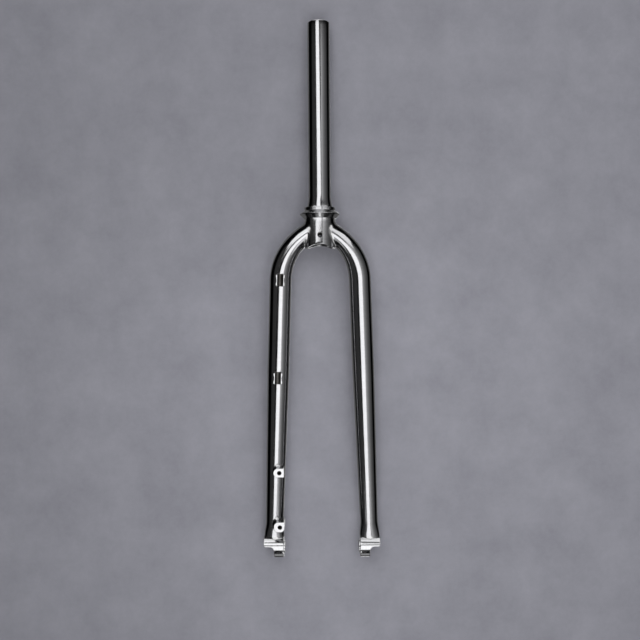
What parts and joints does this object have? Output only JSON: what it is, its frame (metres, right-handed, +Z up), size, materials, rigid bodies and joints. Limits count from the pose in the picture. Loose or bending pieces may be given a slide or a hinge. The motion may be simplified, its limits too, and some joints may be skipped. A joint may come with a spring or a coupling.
{
  "type": "rigid bicycle fork",
  "caption": "Rigid bicycle fork with a tapered-headset steerer, bent tube legs welded to a stub, thru-axle dropouts, and disc brake posts and hose guides on the left leg.",
  "frame": {"origin": "on the steerer's axis, at the shoulder that the crown race sits on", "axes": "+Z up the steerer, +Y forward, the way the legs lean, and +X to the rider's right; the brake is on the -X leg"},
  "size_m": [0.1566, 0.085, 0.7095],
  "materials": {
    "frame_tube": "satin brushed bare metal",
    "turned_race": "fine turned",
    "machined_fitting": "machined and lightly polished",
    "filler": "filed smooth"
  },
  "bodies": {
    "root": {"steerer": "frame_tube", "crown_race": "turned_race", "right_leg": "frame_tube", "left_leg": "frame_tube", "right_crown_weld": "filler", "left_crown_weld": "filler", "right_dropout": "machined_fitting", "left_dropout": "machined_fitting", "right_dropout_weld": "filler", "left_dropout_weld": "filler", "upper_brake_post": "machined_fitting", "lower_brake_post": "machined_fitting", "upper_hose_guide": "machined_fitting", "lower_hose_guide": "machined_fitting"}
  },
  "joints": []
}
